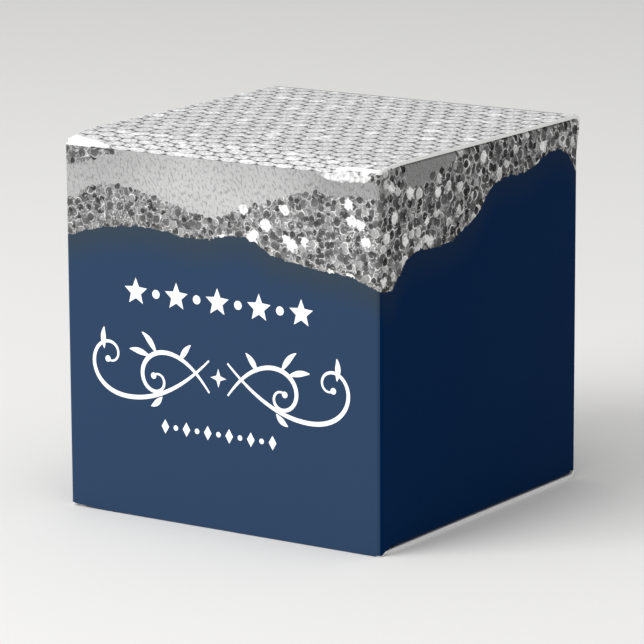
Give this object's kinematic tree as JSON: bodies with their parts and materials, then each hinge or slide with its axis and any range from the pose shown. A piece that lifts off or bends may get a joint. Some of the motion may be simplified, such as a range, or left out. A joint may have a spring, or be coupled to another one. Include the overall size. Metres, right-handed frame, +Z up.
{
  "type": "gift box",
  "caption": "Small cubic straight-tuck-end favour carton, printed navy with a silver glitter band; its lid and base hinge on the back wall and tuck in at the front.",
  "frame": {"origin": "centre of the bottom, on the surface that the closed box stands on", "axes": "+Z up, -Y out of the front wall, +X to the right of someone facing the front"},
  "size_m": [0.0508, 0.0508, 0.0518],
  "materials": {
    "navy_print": "satin",
    "silver_print": "satin",
    "plain_board": "matte",
    "glue": "matte"
  },
  "bodies": {
    "carton": {"front_wall": "navy_print", "right_wall": "navy_print", "back_wall": "navy_print", "left_wall": "navy_print", "front_right_crease": "navy_print", "back_right_crease": "navy_print", "glue_flap_crease": "navy_print", "front_left_crease": "navy_print", "glue_flap": "plain_board", "glue_line": "glue", "lid_crease": "silver_print", "base_crease": "navy_print", "lid_dust_crease_left": "navy_print", "lid_dust_crease_right": "navy_print", "base_dust_crease_left": "navy_print", "base_dust_crease_right": "navy_print"},
    "lid": {"lid_panel": "silver_print", "lid_tuck_crease": "silver_print"},
    "lid_tuck_flap": {"lid_tuck_flap": "silver_print"},
    "lid_dust_flap_left": {"lid_dust_flap_left": "plain_board"},
    "lid_dust_flap_right": {"lid_dust_flap_right": "plain_board"},
    "base": {"base_panel": "navy_print", "base_tuck_crease": "navy_print"},
    "base_tuck_flap": {"base_tuck_flap": "navy_print"},
    "base_dust_flap_left": {"base_dust_flap_left": "plain_board"},
    "base_dust_flap_right": {"base_dust_flap_right": "plain_board"}
  },
  "joints": [
    {"name": "lid_hinge", "type": "hinge", "parent": "carton", "child": "lid", "pos_m": [0, 0.02499, 0.05139], "axis": [-1, 0, 0], "range_deg": [0, 175], "deforming": ["lid_crease"]},
    {"name": "lid_tuck_fold", "type": "hinge", "parent": "lid", "child": "lid_tuck_flap", "pos_m": [0, -0.0243, 0.0513], "axis": [-1, 0, 0], "range_deg": [0, 106], "deforming": ["lid_tuck_crease"]},
    {"name": "lid_dust_fold_left", "type": "hinge", "parent": "carton", "child": "lid_dust_flap_left", "pos_m": [-0.02505, 0, 0.0509], "axis": [0, -1, 0], "range_deg": [0, 110], "deforming": ["lid_dust_crease_left"]},
    {"name": "lid_dust_fold_right", "type": "hinge", "parent": "carton", "child": "lid_dust_flap_right", "pos_m": [0.02505, 0, 0.0509], "axis": [0, 1, 0], "range_deg": [0, 110], "deforming": ["lid_dust_crease_right"]},
    {"name": "base_hinge", "type": "hinge", "parent": "carton", "child": "base", "pos_m": [0, 0.02499, 0.00041], "axis": [1, 0, 0], "range_deg": [0, 175], "deforming": ["base_crease"]},
    {"name": "base_tuck_fold", "type": "hinge", "parent": "base", "child": "base_tuck_flap", "pos_m": [0, -0.0243, 0.0005], "axis": [1, 0, 0], "range_deg": [0, 106], "deforming": ["base_tuck_crease"]},
    {"name": "base_dust_fold_left", "type": "hinge", "parent": "carton", "child": "base_dust_flap_left", "pos_m": [-0.02505, 0, 0.0009], "axis": [0, 1, 0], "range_deg": [0, 110], "deforming": ["base_dust_crease_left"]},
    {"name": "base_dust_fold_right", "type": "hinge", "parent": "carton", "child": "base_dust_flap_right", "pos_m": [0.02505, 0, 0.0009], "axis": [0, -1, 0], "range_deg": [0, 110], "deforming": ["base_dust_crease_right"]}
  ],
  "couplings": [
    {"joint": "lid_tuck_fold", "follows": "lid_hinge", "ratio": 0.5},
    {"joint": "lid_dust_fold_left", "follows": "lid_hinge", "ratio": 0.5},
    {"joint": "lid_dust_fold_right", "follows": "lid_hinge", "ratio": 0.5},
    {"joint": "base_tuck_fold", "follows": "base_hinge", "ratio": 0.5},
    {"joint": "base_dust_fold_left", "follows": "base_hinge", "ratio": 0.5},
    {"joint": "base_dust_fold_right", "follows": "base_hinge", "ratio": 0.5}
  ]
}
